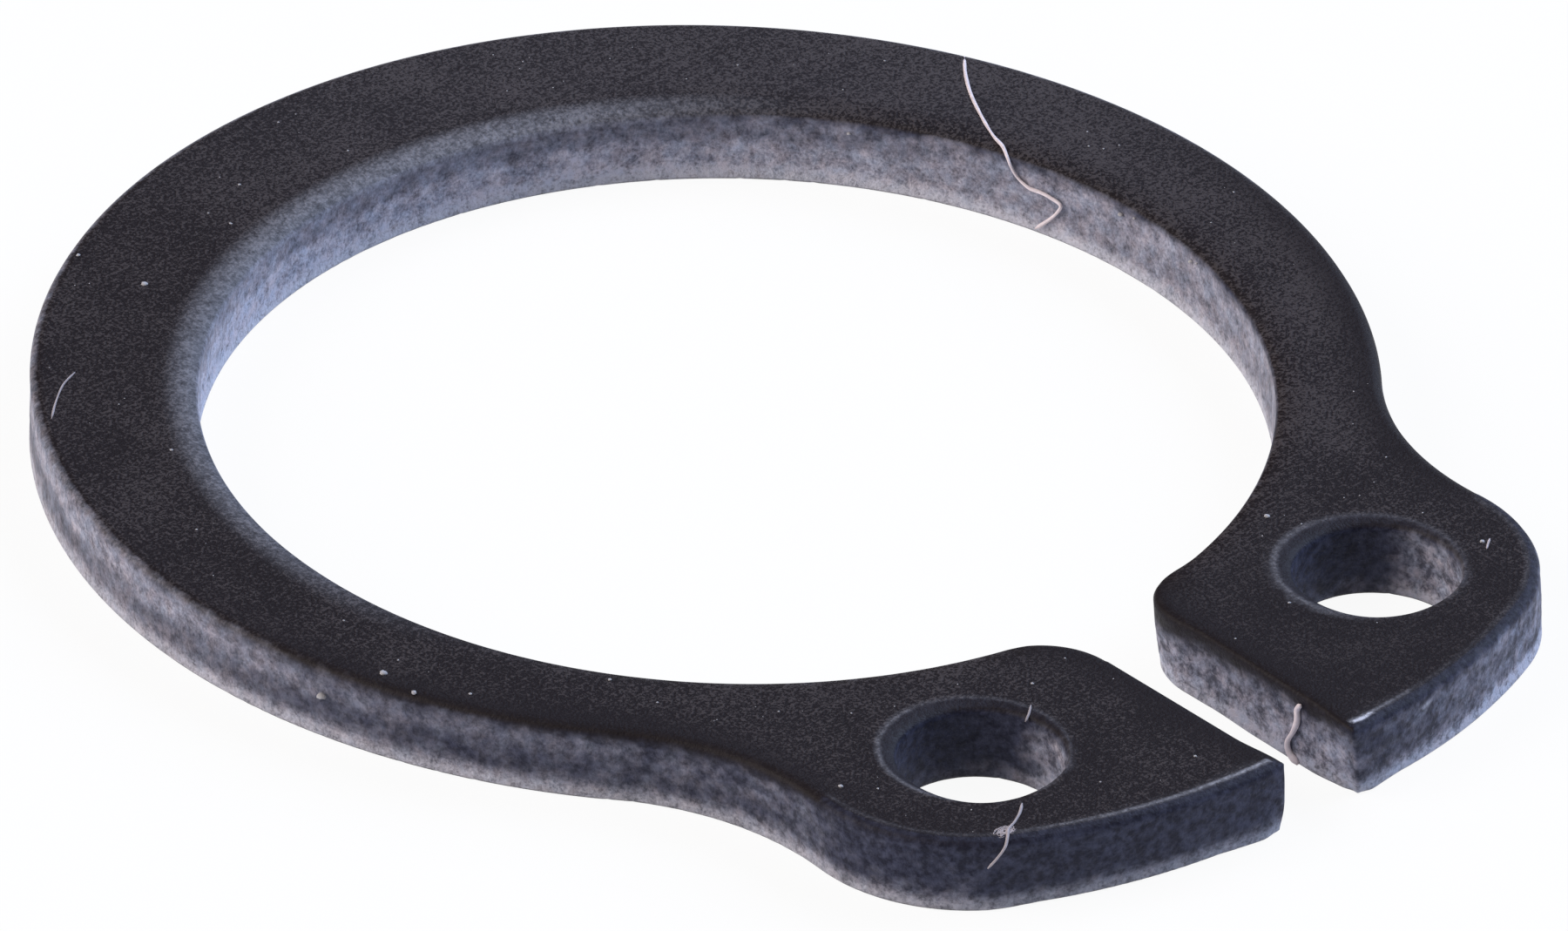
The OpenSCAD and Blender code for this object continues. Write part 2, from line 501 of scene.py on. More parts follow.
# ---------------------------------------------------------------- mesh of the ring

# Rows of points along the edges of a face, as shares of the edges' widths; the share at which an even field
# of points starts; and the field's spacing in millimetres
TOP_PLAN = ((0.35, 0.5, 0.62, 0.74, 0.84, 0.92, 1.0, 1.1, 1.35), 1.512, 0.13)
UNDER_PLAN = ((0.25, 0.55, 0.85, 1.2, 2.2), 2.86, 0.25)
# A row's point is left out where an edge comes nearer than this share of the row's own distance
ROW_SLACK = 0.96
# The least distance of the top's loose points from the walls, as a multiple of the edge's wear
CLEAR_OF_WEAR = 1.4
# About the least distance between loose points, as a share of the fineness
THIN_SHARE = 0.4
# Rows of points down each wall
WALL_ROWS = 14
# Between which shares of the edge's width the walls' paleness and their painted shade fade out on the top
TORN_FADE = (0.8, 0.1)
SHADE_FADE = (4.5, 0.7)
# The same for the walls' coating on the lugs' ends, in millimetres, and on the holes' rolls, as a share
END_FADE = (0.13, 0.08)
HOLE_FADE = (0.98, 0.8)
# How much painted shade darkens the lugs' ends and the holes' rolls, standing for their dark reflections,
# how dark the darker spot is, and how much wall those rolls are
END_SHADE = 0.6
HOLE_ROLL_SHADE = 0.8
SPOT_BLACK = 0.4
HOLE_WALL = 0.4
# How far up and down the zones of the walls sway, as a share of the thickness, and in how many waves a
# millimetre
SWAY = 0.08
SWAY_WAVES = 1.3
# Depths between which a wall gets torn below its start, changes to its middle and changes to its foot, which
# is painted paler, standing for light from the floor below
START_FADE = 0.12
MIDDLE_FADE = (0.36, 0.5)
LIT_FOOT_FADE = (0.66, 0.96)
# Coarse and fine waves of the torn grain, to the millimetre
COARSE_TEAR = 3.2
FINE_TEAR = 9.0
# Distances from a tip between which the feet start to draw back, and those in which its own foot is rounded
SPARED_TIP = (0.1, 0.9)
ROUNDED_TIP = (0.25, 0.02)
# How far from the wall its drawn-back foot is felt, in millimetres
FOOT_REACH = 0.6
# Where the lugs are a little out of shape: place and reach, and the push at the top and at the foot, in
# millimetres
PUSHES = (
    ((-0.62, -10.2), 0.7, (0.055, 0.0), (0.085, 0.0)),
    ((0.62, -10.2), 0.7, (-0.055, 0.0), (0.07, 0.0)),
    ((0.85, -6.7), 1.0, (-0.09, 0.07), (-0.03, 0.02)),
    ((1.1, -7.8), 0.9, (0.0, 0.0), (0.05, 0.0)),
    ((4.8, -9.0), 2.0, (-0.02, 0.0), (0.05, -0.01)),
    ((3.15, -7.85), 2.2, (0.04, 0.0), (0.05, 0.0)),
    ((-3.7, -8.55), 0.9, (-0.035, -0.05), (-0.035, -0.05)),
    ((2.6, -8.55), 0.9, (-0.03, -0.04), (-0.03, -0.04)),
    ((-2.4, -8.5), 0.9, (0.01, -0.01), (0.04, -0.05)),
    ((3.9, -8.5), 0.9, (0.01, -0.01), (0.04, -0.04)),
)


def grid(low, high, spacing):
    """Points of a grid of even triangles"""
    rows = np.arange(low.imag, high.imag, spacing * math.sqrt(0.75))
    columns = np.arange(low.real, high.real, spacing)
    shifted = [columns + (number % 2) * spacing / 2 + 1j * y for number, y in enumerate(rows)]
    return np.concatenate(shifted)


def triangulate(rims, loose):
    """Triangles between the closed rims, on their points and the loose ones"""
    points = np.concatenate(rims + [loose])
    edges = []
    first = 0
    for rim in rims:
        count = len(rim)
        edges += [(first + i, first + (i + 1) % count) for i in range(count)]
        first += count
    flat = [Vector((p.real, p.imag)) for p in points]
    found = delaunay_2d_cdt(flat, edges, [], 1, 1e-7)
    if len(found[0]) != len(points):
        raise RuntimeError("the edges of the ring cross or touch")
    rim_of = np.repeat(range(len(rims) + 1), [len(rim) for rim in rims] + [len(loose)])
    triangles = []
    for face in found[2]:
        kinds = {rim_of[i] for i in face}
        in_a_hole = len(kinds) == 1 and 0 < min(kinds) < len(rims)
        if not in_a_hole:
            triangles.append(tuple(face))
    return points, triangles


def loose_points(blank, loops, widths, plan, reach):
    """Points of a face inside its edges: rows along each edge, and an even field between them"""
    rows, field_start, spacing = plan
    kept = []
    for loop, width in zip(loops, widths):
        for share in rows:
            q = loop.points + share * width * loop.inward
            kept.append(q[reach(q) > ROW_SLACK * share])
    field = even_field(blank, spacing)
    kept.append(field[reach(field) > field_start])
    return np.concatenate(kept)


def top_face(blank, loops):
    """Points and faces of the top, which starts a hair inside the walls, where the edge is worn back"""
    wear = blank.s["edge_wear"]
    rims = [loop.points + wear * loop.inward for loop in loops]
    loose = loose_points(blank, loops, [loop.width for loop in loops], TOP_PLAN, blank.reach)
    loose = loose[np.min(blank.gaps(loose), axis=0) > CLEAR_OF_WEAR * wear]
    points, triangles = triangulate(rims, thin_out(loose, THIN_SHARE * blank.s["fineness"]))
    faces = [face if is_left_turn(points, face) else face[::-1] for face in triangles]
    return np.column_stack([points.real, points.imag, blank.top(points)]), faces


def underside(blank, loops):
    """Points and faces of the underside, which starts at the walls"""
    rims = [loop.points for loop in loops]
    widths = [blank.s["under_width"]] * len(loops)
    loose = loose_points(blank, loops, widths, UNDER_PLAN, blank.under_reach)
    points, triangles = triangulate(rims, thin_out(loose, THIN_SHARE * blank.s["fineness"]))
    faces = [face[::-1] if is_left_turn(points, face) else face for face in triangles]
    return np.column_stack([points.real, points.imag, blank.bottom(points)]), faces


def wall_row(blank, loop, share):
    """Points of a wall at a share of the way from its worn edge to the worn edge below, and their tones"""
    high = blank.top(loop.points) - blank.s["edge_wear"]
    z = high + (blank.s["under_width"] - high) * share
    torn_and_lit, painted_shade = wall_tone(blank, loop, z)
    q = loop.points + blank.s["tear_depth"] * tear(loop, z, share, torn_and_lit) * loop.inward
    return np.column_stack([q.real, q.imag, z]), torn_and_lit, painted_shade


def steel_mesh(blank):
    """Points and faces of the whole ring, and how pale, how much in painted shade and how much wall each
    point is
    """
    loops = blank.loops()
    top, faces = top_face(blank, loops)
    under, under_faces = underside(blank, loops)
    faces += [tuple(i + len(top) for i in face) for face in under_faces]
    layers = [np.concatenate([top, under])]
    torn_and_lit, painted_shade, wall = [[tones] for tones in edge_tones(blank, loops, layers[0])]
    count = len(layers[0])
    under_rims = rim_numbers(loops, len(top))
    for loop, above, under_rim in zip(loops, rim_numbers(loops, 0), under_rims):
        for level in range(WALL_ROWS):
            row, row_torn_and_lit, row_painted_shade = wall_row(blank, loop, level / WALL_ROWS)
            here = np.arange(len(row)) + count
            faces += wall_band(above, here)
            layers.append(row)
            torn_and_lit.append(row_torn_and_lit)
            painted_shade.append(row_painted_shade)
            wall.append(np.ones(len(row)))
            count += len(row)
            above = here
        faces += wall_band(above, under_rim)
    torn_and_lit, painted_shade, wall = [np.concatenate(part) for part in (torn_and_lit, painted_shade, wall)]
    for loop, under_rim in zip(loops, under_rims):
        # The underside's rim takes the foot's paleness, painted light from the floor
        torn_and_lit[under_rim] = loop.looks[:, LIT_FOOT]
        wall[under_rim] = 1
    return lean_back(blank, loops, np.concatenate(layers)), faces, (torn_and_lit, painted_shade, wall)


def edge_tones(blank, loops, spots):
    """How pale, how much in painted shade and how much wall the top's rolled edges are, carried on from the
    walls below
    """
    q = places(spots)
    on_top = spots[:, 2] > 0.5 * blank.s["thickness"]
    looks, _, distance = nearest_wall(loops, spots)
    share = distance / blank.s["edge_width"]
    torn_and_lit = looks[:, EDGE] * smooth_step(share, *TORN_FADE)
    painted_shade = looks[:, PAINTED_SHADE] * smooth_step(share, *SHADE_FADE)
    from_end = np.min((blank.end.gap(folded(q)), blank.shoulder.gap(folded(q)), np.ones(len(q))), axis=0)
    wall = smooth_step(from_end, *END_FADE)
    rolled = smooth_step(blank.from_hole(q), *HOLE_FADE)
    deep = smooth_step(abs(q - DARK_SPOT), *DARK_SPOT_FADE)
    # Painted shade: dark bands on the rolled edges, the lugs' ends and the holes' rolls, and a darker spot
    # on the right lug
    painted_shade = np.max((painted_shade, SPOT_BLACK * deep, END_SHADE * wall, HOLE_ROLL_SHADE * rolled), axis=0)
    return torn_and_lit * on_top, painted_shade * on_top, np.maximum(wall, HOLE_WALL * rolled) * on_top


def nearest_wall(loops, spots):
    """The look of the wall nearest to each point, the way into the steel there and the distance"""
    points = np.concatenate([loop.points for loop in loops])
    inward = np.concatenate([loop.inward for loop in loops])
    looks = np.concatenate([loop.looks for loop in loops])
    tree = KDTree(len(points))
    for number, p in enumerate(points):
        tree.insert((p.real, p.imag, 0), number)
    tree.balance()
    found = [tree.find((x, y, 0)) for x, y, _ in spots]
    numbers = np.array([number for _, number, _ in found])
    return looks[numbers], inward[numbers], np.array([distance for _, _, distance in found])


def lean_back(blank, loops, spots):
    """Draws the lugs' feet back, rounds the tips' feet and pushes the lugs a little out of shape"""
    looks, inward, distance = nearest_wall(loops, spots)
    q = places(spots)
    down = blank.down(spots[:, 2])
    from_tip = abs(folded(q) - blank.tip.centre)
    back = looks[:, BACK] * down ** 2 * smooth_step(distance, FOOT_REACH, 0)
    move = back * smooth_step(from_tip, *SPARED_TIP) * inward
    side = np.where(q.real < 0, -1, 1)
    rounding = blank.s["tip_foot"] * down ** 6 * smooth_step(from_tip, *ROUNDED_TIP)
    move += rounding * (0.7 * side + 0.7j)
    for centre, reach, at_top, at_foot in PUSHES:
        # A pushed wall bulges, so that its middle moves nearly as far as its foot
        push = complex(*at_top) * (1 - down) + complex(*at_foot) * down * (2.2 - 1.2 * down)
        move += push * smooth_step(abs(q - complex(*centre)), reach, 0)
    return spots + np.column_stack([move.real, move.imag, np.zeros(len(move))])


def wall_tone(blank, loop, z):
    """How pale and how much in painted shade the steel is at the height z of each point's wall"""
    down = blank.down(z)
    looks = loop.looks
    sway = SWAY * np.array([noise.noise(Vector((p.real, p.imag, 7)) * SWAY_WAVES) for p in loop.points])
    start = looks[:, START]
    upper = smooth_step((down + sway - start) / START_FADE, -1, 1)
    tone = looks[:, EDGE] + upper * (looks[:, UPPER] - looks[:, EDGE])
    tone += smooth_step(down + sway, *MIDDLE_FADE) * (looks[:, MIDDLE] - tone)
    tone = np.where(down < start, np.minimum(tone, looks[:, EDGE] + upper), tone)
    # The foot is painted paler, standing for light from the floor below; painted shade darkens the band
    # above the torn start, standing for a dark burnished band
    tone += smooth_step(down + 0.5 * sway, *LIT_FOOT_FADE) * (looks[:, LIT_FOOT] - tone)
    return tone, looks[:, PAINTED_SHADE] * (1 - upper)


def even_field(blank, spacing):
    """An even field of points over the ring's whole reach"""
    s = blank.s
    side = s["outer_radius"] + s["outer_shift"]
    low = complex(-side, -s["bore_radius"] - s["lug_depth"])
    q = grid(low, complex(side, side), spacing)
    return q[inside(blank, q)]


def inside(blank, q):
    """Which points lie in the steel"""
    outline = blank.outline().points
    result = np.zeros(len(q), bool)
    for a, b in zip(outline, np.roll(outline, -1)):
        crosses = (a.imag > q.imag) != (b.imag > q.imag)
        if a.imag != b.imag:
            x = a.real + (q.imag - a.imag) * (b.real - a.real) / (b.imag - a.imag)
            result ^= crosses & (q.real < x)
    return result & (abs(folded(q) - blank.hole_c) > blank.s["hole_radius"])


def thin_out(q, spacing):
    """The points without any that fall almost onto an earlier one"""
    seen = set()
    kept = []
    for p in q:
        cell = (round(p.real / spacing), round(p.imag / spacing))
        if cell not in seen:
            seen.add(cell)
            kept.append(p)
    return np.array(kept)


def is_left_turn(points, face):
    """Whether a face's corners turn to the left, as they do seen from above"""
    a, b, c = [points[i] for i in face[:3]]
    return ((b - a).conjugate() * (c - a)).imag > 0


def rim_numbers(loops, first):
    """Numbers of the points on each loop's rim of a face"""
    numbers = []
    for loop in loops:
        numbers.append(np.arange(len(loop.points)) + first)
        first += len(loop.points)
    return numbers


def wall_band(upper, lower):
    """Faces between two rows of points round a wall"""
    upper_next = np.roll(upper, -1)
    lower_next = np.roll(lower, -1)
    return list(zip(lower.tolist(), lower_next.tolist(), upper_next.tolist(), upper.tolist()))


def tear(loop, z, share, tone):
    """How deep the torn grain bites into a wall, from 0 to 1"""
    if share == 0:
        return np.zeros(len(z))
    values = []
    for p, height in zip(loop.points, z):
        at = Vector((p.real, p.imag, height))
        values.append(0.45 + 0.55 * noise.noise(at * COARSE_TEAR) + 0.5 * noise.noise(at * FINE_TEAR))
    return np.clip(values, 0, 1) * (0.25 + 0.75 * tone)


# ---------------------------------------------------------------- wear of the black, and painted glints, sheen and foot light

# Points above this share of the thickness are on the top face
TOP_FROM = 0.85
# The bright line inside the lugs' top edges, partly rubbed bare and partly a painted glint where the
# rounding
# starts: its distance from the edge and its width in millimetres
LINE_INSET = 0.155
LINE_WIDTH = 0.03
# How bright that line is: at the left tip, and how much less at the far side of the left end; along the
# right end, and how much more at its tip, with the distances from the slot's middle between which that
# fades; and on the shoulders
LEFT_LINE = 0.42
LEFT_LINE_FALL = 0.34
RIGHT_LINE = 0.03
RIGHT_TIP_LINE = 0.2
RIGHT_TIP_FADE = (2.0, 1.0)
SHOULDER_LINE = 0.045
# Where the left end starts and how far it reaches along the end
LEFT_END_FROM = 0.6
LEFT_END_REACH = 3.4
# The chip, bare steel painted as bright as a glint: how bright it is, how far it lies inside the edge, how
# tall its middle is, how far its rim is blurred outwards and inwards, and the height below which it ends
CHIP_GLINT = 1.1
CHIP_INSET = 0.13
CHIP_HEIGHT = 0.024
CHIP_BLUR_OUT = 0.02
CHIP_BLUR_IN = 0.01
CHIP_LEAST = 0.004
# The painted glint round the holes, where their rolls meet the top: its width at the left and the right one,
# how bright it is, and the side where it catches most light
HOLE_LINE_WIDTHS = (0.03, 0.045)
HOLE_GLINT = 0.14
HOLE_GLINT_SIDE = math.radians(150)
# The pale band on the bore's roll, burnished steel with a painted sheen: how bright it is, the angles
# between which it starts and ends, the angle where it is strongest, and the distances from the wall between
# which it fades
ROLL_SHEEN = 0.16
ROLL_FROM = (0.6, 1.3)
ROLL_TO = (3.5, 2.9)
ROLL_PEAK = 1.2
ROLL_BAND = (0.48, 0.12)
# The same for the trace of painted sheen on the top beside it
TOP_SHEEN = 0.016
TOP_PEAK = 0.9
TOP_BAND = (0.2, 0.6)
# Depths between which the walls' feet get painted lighter, standing for light from the floor below, the
# distances from a wall that count as on it, and how light the feet are on the outside, how much more in the
# bore, and in the holes
FOOT_LIGHT_DEPTHS = (0.74, 0.97)
ON_WALL = (0.2, 0.05)
ON_BORE = (0.2, 0.1)
OUTER_FOOT = 0.4
BORE_FOOT = 0.3
HOLE_FOOT = 0.5
# How bare the scuff is, and the distances from its middle between which it fades
SCUFF_WEAR = 0.5
SCUFF_FADE = (0.18, 0.06)


def ridge(distance, middle, width):
    """1 at the middle distance, falling off to both sides over the width"""
    return np.exp(-((distance - middle) / width) ** 2)


def end_wear_and_glint(blank, q, left):
    """The bright line inside the lugs' ends, partly bare steel and partly a painted glint, strongest at the
    tips, and along the shoulders
    """
    from_tip = np.clip((abs(q.real) - LEFT_END_FROM) / LEFT_END_REACH, 0, 1)
    on_left = LEFT_LINE - LEFT_LINE_FALL * from_tip
    on_right = RIGHT_TIP_LINE * smooth_step(q.real, *RIGHT_TIP_FADE) + RIGHT_LINE
    line = 0
    for run, strength in ((blank.end, np.where(left, on_left, on_right)), (blank.shoulder, SHOULDER_LINE)):
        inset = np.minimum(run.gap(folded(q)), 1.0)
        line = np.maximum(line, strength * ridge(inset, LINE_INSET, LINE_WIDTH))
    return line


def chip_glint(blank, q, left):
    """The bare chip in the edge of the right tip, painted as bright as a glint"""
    height = CHIP_HEIGHT * smooth_step(abs(q.real - CHIP_X), CHIP_REACH, 0)
    inset = np.minimum(blank.end.gap(folded(q)), 1.0)
    in_chip = smooth_step(abs(inset - CHIP_INSET), height + CHIP_BLUR_OUT, height - CHIP_BLUR_IN)
    return CHIP_GLINT * in_chip * (height > CHIP_LEAST) * ~left


def hole_glint(blank, q, left):
    """The painted glint where the rolls of the plier holes meet the top, brightest on one side"""
    away = blank.from_axis(q)
    line = ridge(blank.gaps(q)[2], blank.hole_roll(away), np.where(left, *HOLE_LINE_WIDTHS))
    return HOLE_GLINT * line * (0.4 + 0.6 * facing(away, HOLE_GLINT_SIDE))


def bore_roll_sheen(blank, q):
    """The pale band on the far side of the bore's roll, burnished steel with a painted sheen, and a trace of
    painted sheen on the top beside that
    """
    bore = blank.gaps(q)[0]
    angle = np.angle(q) % math.tau
    band = smooth_step(angle, *ROLL_FROM) * smooth_step(angle, *ROLL_TO) * smooth_step(bore, *ROLL_BAND)
    roll = ROLL_SHEEN * band * (1 + 0.4 * np.cos(angle - ROLL_PEAK))
    top = TOP_SHEEN * smooth_step(np.cos(angle - TOP_PEAK), 0.4, 1) * smooth_step(bore, *TOP_BAND)
    return np.maximum(roll, top)


def lit_feet_and_scuff(blank, q, left, down):
    """The feet of all walls painted lighter, standing for light from the floor below, and the scuff on the
    right lug's wall
    """
    bore, outside, hole = blank.gaps(q)
    on_wall = smooth_step(np.min((bore, outside, hole), axis=0), *ON_WALL)
    lit = facing(blank.from_axis(q), np.where(left, LEFT_HOLE_LIT_SIDE, RIGHT_HOLE_LIT_SIDE))
    foot_light = OUTER_FOOT + BORE_FOOT * smooth_step(bore, *ON_BORE)
    # In the holes only the lit side of the foot is painted lighter
    foot_light = np.where(hole < ON_WALL[0], HOLE_FOOT * lit, foot_light)
    feet = foot_light * smooth_step(down, *FOOT_LIGHT_DEPTHS) * on_wall
    scuff = smooth_step(abs(q.real - SCUFF_X) + abs(down - SCUFF_DOWN), *SCUFF_FADE)
    return np.maximum(feet, SCUFF_WEAR * scuff * (q.imag < -blank.s["bore_radius"]))


def worn_edges(blank, spots):
    """Where the black is rubbed off and where glints, sheen and foot light are painted, from 0 to 1"""
    q = places(spots)
    left = q.real < 0
    lines = [wear(blank, q, left) for wear in (end_wear_and_glint, chip_glint, hole_glint)] + [bore_roll_sheen(blank, q)]
    on_top = spots[:, 2] > TOP_FROM * blank.s["thickness"]
    return np.where(on_top, np.max(lines, axis=0), lit_feet_and_scuff(blank, q, left, blank.down(spots[:, 2])))


# ---------------------------------------------------------------- materials

class Finish:
    """A new material and short ways to add to its nodes"""

    def __init__(self, name):
        self.material = bpy.data.materials.new(name)
        self.material.use_nodes = True
        self.nodes = self.material.node_tree.nodes
        self.links = self.material.node_tree.links
        self.nodes.clear()
        self.output = self.add("ShaderNodeOutputMaterial")

    def add(self, kind, inputs=None, **settings):
        """A node with its settings, and with a value set or a socket linked at each of the inputs"""
        node = self.nodes.new(kind)
        for name, value in settings.items():
            setattr(node, name, value)
        for place, value in (inputs or {}).items():
            if isinstance(value, bpy.types.NodeSocket):
                self.links.new(value, node.inputs[place])
            else:
                node.inputs[place].default_value = value
        return node

    def millimetres(self, stretch=(1, 1, 1)):
        """The object's own coordinates in millimetres"""
        place = self.add("ShaderNodeTexCoord").outputs["Object"]
        inputs = {0: place, 1: [s / MM for s in stretch]}
        return self.add("ShaderNodeVectorMath", inputs, operation="MULTIPLY").outputs[0]

    def attribute(self, name):
        """One of the marks on the mesh's points"""
        return self.add("ShaderNodeAttribute", attribute_name=name).outputs["Fac"]

    def along(self, at, axis="Y"):
        """One coordinate of a place"""
        return self.add("ShaderNodeSeparateXYZ", {0: at}).outputs[axis]

    def noise(self, at, scale, detail=2.0, roughness=0.5):
        """Smooth noise about 0.5, with so many waves to a unit of the place"""
        inputs = {"Vector": at, "Scale": scale, "Detail": detail, "Roughness": roughness}
        return self.add("ShaderNodeTexNoise", inputs).outputs["Fac"]

    def math(self, operation, a, b, clamp=False):
        """A sum, a product or the like of two values"""
        return self.add("ShaderNodeMath", {0: a, 1: b}, operation=operation, use_clamp=clamp).outputs[0]

    def span(self, value, low, high, to_low=0.0, to_high=1.0):
        """The value's place between low and high, held between to_low and to_high"""
        inputs = {"Value": value, "From Min": low, "From Max": high, "To Min": to_low, "To Max": to_high}
        return self.add("ShaderNodeMapRange", inputs, clamp=True).outputs["Result"]

    def mix(self, factor, a, b):
        """The colour a with this share of b in it"""
        inputs = {"Factor": factor, "A": solid(a), "B": solid(b)}
        return self.add("ShaderNodeMix", inputs, data_type="RGBA").outputs["Result"]

    def bump(self, height, distance, strength, below=None):
        """A normal that follows a height, on top of the bumps below it"""
        inputs = {"Height": height, "Distance": distance, "Strength": strength}
        if below is not None:
            inputs["Normal"] = below
        return self.add("ShaderNodeBump", inputs).outputs["Normal"]

    def surface(self, colour, roughness, specular, normal):
        """The material with a plain surface of this colour and shine"""
        inputs = {"Base Color": solid(colour), "Roughness": roughness, "Specular IOR Level": specular}
        return self.finish(self.add("ShaderNodeBsdfPrincipled", inputs | {"Normal": normal}))

    def finish(self, shader):
        """The material with this shader on its surface"""
        self.links.new(shader.outputs[0], self.output.inputs["Surface"])
        return self.material


# How far the painted shade on the walls and rolled edges goes towards the darker oxide
DEEPEST_SHADE = 0.85


def solid(colour):
    """A colour with full cover, or a socket as it is"""
    if isinstance(colour, bpy.types.NodeSocket):
        return colour
    return (*colour, 1.0)


def black_oxide(f, colours, at, fine, grain):
    """Colour of the flat faces: speckled and cloudy, darker towards the left and on the lugs"""
    across = f.along(at, "X")
    cloud = f.noise(at, 0.9, 3.0)
    tone = f.math("ADD", f.span(fine, 0.42, 0.6, -0.35, 1.15), f.span(cloud, 0.35, 0.7, -0.3, 0.35))
    tone = f.math("ADD", tone, f.span(across, -9.0, 7.0, -0.3, 0.15))
    to_lugs = f.math("ADD", f.along(at), f.math("MULTIPLY", across, -0.25))
    tone = f.math("ADD", tone, f.span(to_lugs, -8.0, -5.7, -0.4, 0.0))
    tone = f.math("ADD", tone, f.span(grain, 0.35, 0.65, -0.5, 0.5), clamp=True)
    return f.mix(tone, colours.oxide_dark, colours.oxide_light)


def pale_level(f, at, torn_and_lit, fine, grain):
    """How far the pale steel shows through the black, in ragged patches, strongest on the lugs; the paleness
    is torn grain, with painted light at the walls' feet and on the holes' lit sides
    """
    patch = f.noise(f.millimetres((1, 1, 1.3)), 4.0, 3.0, 0.55)
    mottled = f.math("ADD", f.span(patch, 0.33, 0.67, -0.36, 0.36), f.span(grain, 0.32, 0.68, -0.4, 0.4))
    mottled = f.math("MULTIPLY", mottled, f.span(f.along(at), -7.0, -4.0, 1.5, 0.7))
    uneven = f.math("MAXIMUM", f.math("ADD", mottled, f.span(fine, 0.32, 0.68, 0.6, 1.4)), 0.3)
    ragged = f.span(f.math("ADD", torn_and_lit, f.span(patch, 0.3, 0.7, -0.07, 0.07)), 0.02, 0.9, 0.0, 0.9)
    shown = f.math("MULTIPLY", ragged, f.span(torn_and_lit, 0.0, 0.08))
    return f.span(f.math("MULTIPLY", shown, uneven), 0.0, 1.0)


def blackened_steel(colours):
    """Black oxide with a fine grain, bluer on the walls, darker under painted shade, paler where the steel
    is torn and where light is painted, and bare steel where it is rubbed or a glint is painted
    """
    f = Finish("blackened_steel")
    at = f.millimetres()
    torn_and_lit = f.attribute("torn_and_lit")
    fine = f.noise(at, 24.0, 2.0, 0.7)
    grain = f.noise(at, 9.0, 3.0, 0.6)
    hue = f.noise(at, 5.0, 3.0, 0.6)
    oxide = black_oxide(f, colours, at, fine, grain)
    coated = f.mix(f.span(grain, 0.38, 0.66), colours.wall_dark, colours.wall_light)
    dark = f.mix(f.attribute("wall"), oxide, coated)
    # Painted shade pulls the colour towards the darker oxide
    dark = f.mix(f.math("MULTIPLY", f.attribute("painted_shade"), DEEPEST_SHADE), dark, colours.oxide_dark)
    pale = f.mix(f.span(hue, 0.35, 0.65), colours.torn_cool, colours.torn_warm)
    colour = f.mix(pale_level(f, at, torn_and_lit, fine, grain), dark, pale)
    uneven = f.span(f.math("ADD", fine, grain), 0.7, 1.3, 0.35, 1.65)
    # Bare steel where the black is rubbed off, and the painted glints, sheen and foot light
    colour = f.mix(f.math("MULTIPLY", f.attribute("worn"), uneven, clamp=True), colour, colours.bare)
    roughness = f.span(fine, 0.3, 0.7, 0.52, 0.72)
    speckle = f.bump(fine, 0.000012, 1.0)
    normal = f.bump(f.math("MULTIPLY", grain, torn_and_lit), 0.00004, 0.9, speckle)
    return f.surface(colour, roughness, 0.25, normal)


def fibre(name, colour):
    """Pale cotton, a little uneven along its length and darker where it is dimmed"""
    f = Finish(name)
    at = f.millimetres()
    uneven = f.noise(at, 14.0, 2.0)
    clean = f.mix(f.span(uneven, 0.3, 0.7), tuple(0.85 * c for c in colour), colour)
    shade = f.mix(f.attribute("dimmed"), clean, tuple(DIMMED_SHARE * c for c in colour))
    return f.surface(shade, 0.8, 0.2, f.bump(uneven, 0.000004, 0.5))


def floor_finish(studio):
    """A pale floor that shows white to the camera and in reflections, and keeps a soft shadow"""
    f = Finish("pale_floor")
    path = f.add("ShaderNodeLightPath")
    seen = f.math("MAXIMUM", path.outputs["Is Camera Ray"], path.outputs["Is Glossy Ray"])
    seen = f.math("MAXIMUM", seen, path.outputs["Is Transmission Ray"])
    white_share = f.math("MULTIPLY", seen, 1 - studio.floor_shadow)
    lit = f.add("ShaderNodeBsdfDiffuse", {"Color": solid(studio.floor_colour)})
    white = f.add("ShaderNodeEmission", {"Strength": 1.0})
    return f.finish(f.add("ShaderNodeMixShader", {0: white_share, 1: lit.outputs[0], 2: white.outputs[0]}))


# ---------------------------------------------------------------- pieces

def new_object(name, points, faces, materials):
    """A smooth mesh object from points in millimetres"""
    mesh = bpy.data.meshes.new(name)
    mesh.from_pydata([Vector(p) * MM for p in points], [], faces)
    mesh.shade_smooth()
    for material in materials:
        mesh.materials.append(material)
    thing = bpy.data.objects.new(name, mesh)
    bpy.context.scene.collection.objects.link(thing)
    return thing


def mark(mesh, name, values):
    """A value for each point, for the material to read"""
    mesh.attributes.new(name, "FLOAT", "POINT").data.foreach_set("value", np.asarray(values, np.float32))


# Sides round a fibre, and its steps between each two of its points
FIBRE_SIDES = 8
FIBRE_STEPS = 6


def smooth_path(points, pieces):
    """A curve through the points, with so many steps between each two"""
    ends = [2 * points[0] - points[1]] + list(points) + [2 * points[-1] - points[-2]]
    path = []
    for a, b, c, d in zip(ends, ends[1:], ends[2:], ends[3:]):
        for i in range(pieces):
            t = i / pieces
            path.append(0.5 * ((2 * b) + (c - a) * t + (2 * a - 5 * b + 4 * c - d) * t * t
                               + (3 * b - a - 3 * c + d) * t ** 3))
    path.append(points[-1])
    return path


